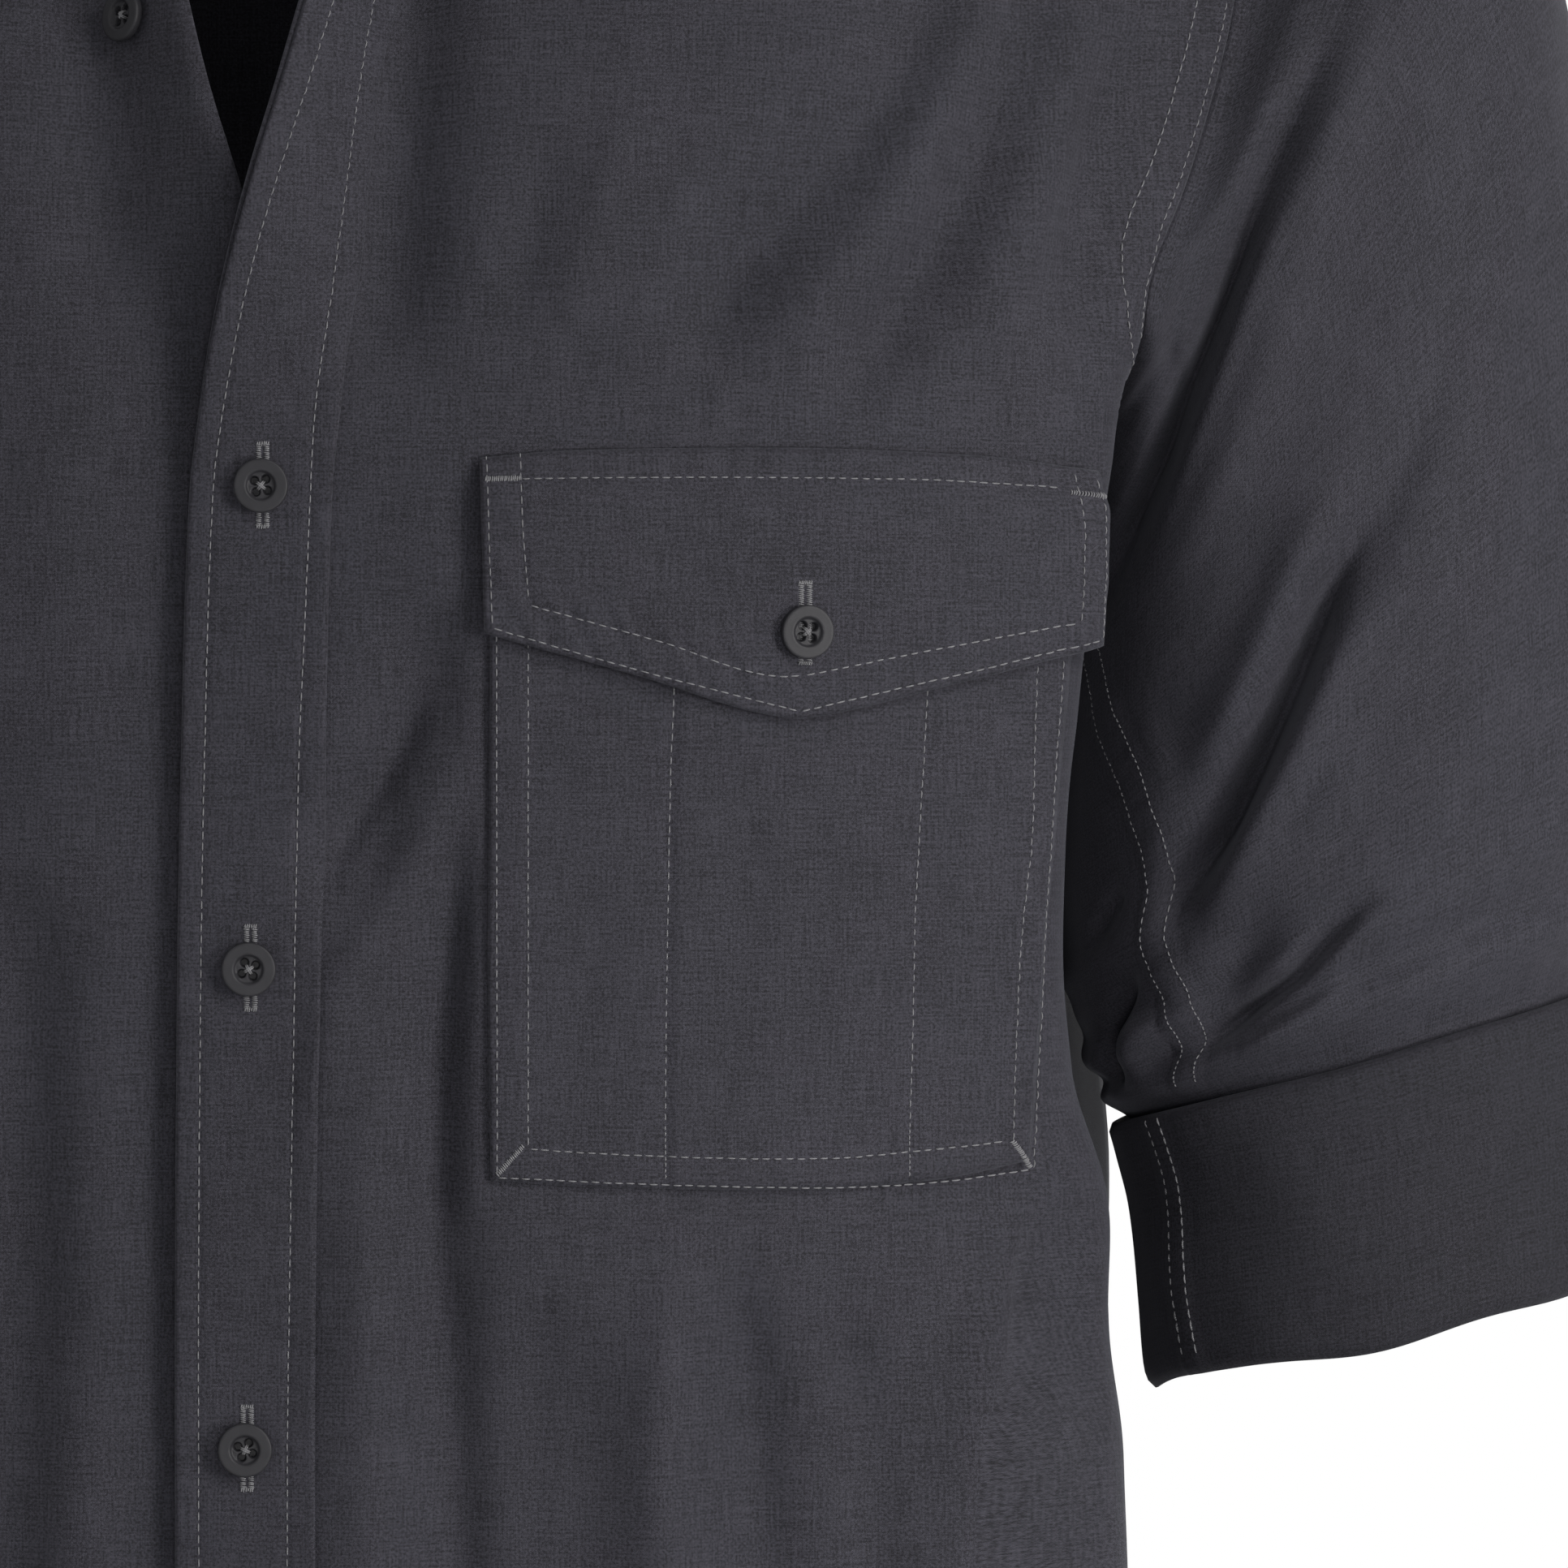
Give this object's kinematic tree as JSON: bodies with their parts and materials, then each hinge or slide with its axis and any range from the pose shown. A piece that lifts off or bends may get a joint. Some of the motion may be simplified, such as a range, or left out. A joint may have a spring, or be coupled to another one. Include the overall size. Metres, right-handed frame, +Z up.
{
  "type": "shirt",
  "caption": "Worn long-sleeved work shirt with sleeves rolled to the elbow, open neck, buttoned front and a flapped chest pocket.",
  "frame": {"origin": "the middle of the wearer's neck, level with the highest shoulder points", "axes": "+X to the wearer's left, -Y to the front of the chest, +Z up"},
  "size_m": [0.606, 0.2935, 0.7931],
  "materials": {
    "cloth": "matt plain weave, dark charcoal",
    "cloth_reverse": "reverse of the same cloth, a little darker",
    "button": "moulded dark grey plastic"
  },
  "bodies": {
    "root": {"front_left": "cloth", "front_right": "cloth", "back": "cloth", "sleeve_left": "cloth", "sleeve_right": "cloth", "collar_stand": "cloth", "collar_leaf": "cloth", "placket": "cloth", "pocket": "cloth", "pocket_flap": "cloth", "roll_left": "cloth_reverse", "roll_right": "cloth_reverse", "button_front_1": "button", "button_front_2": "button", "button_front_3": "button", "button_front_4": "button", "button_front_5": "button", "button_open": "button", "button_flap": "button", "button_collar": "button"}
  },
  "joints": []
}
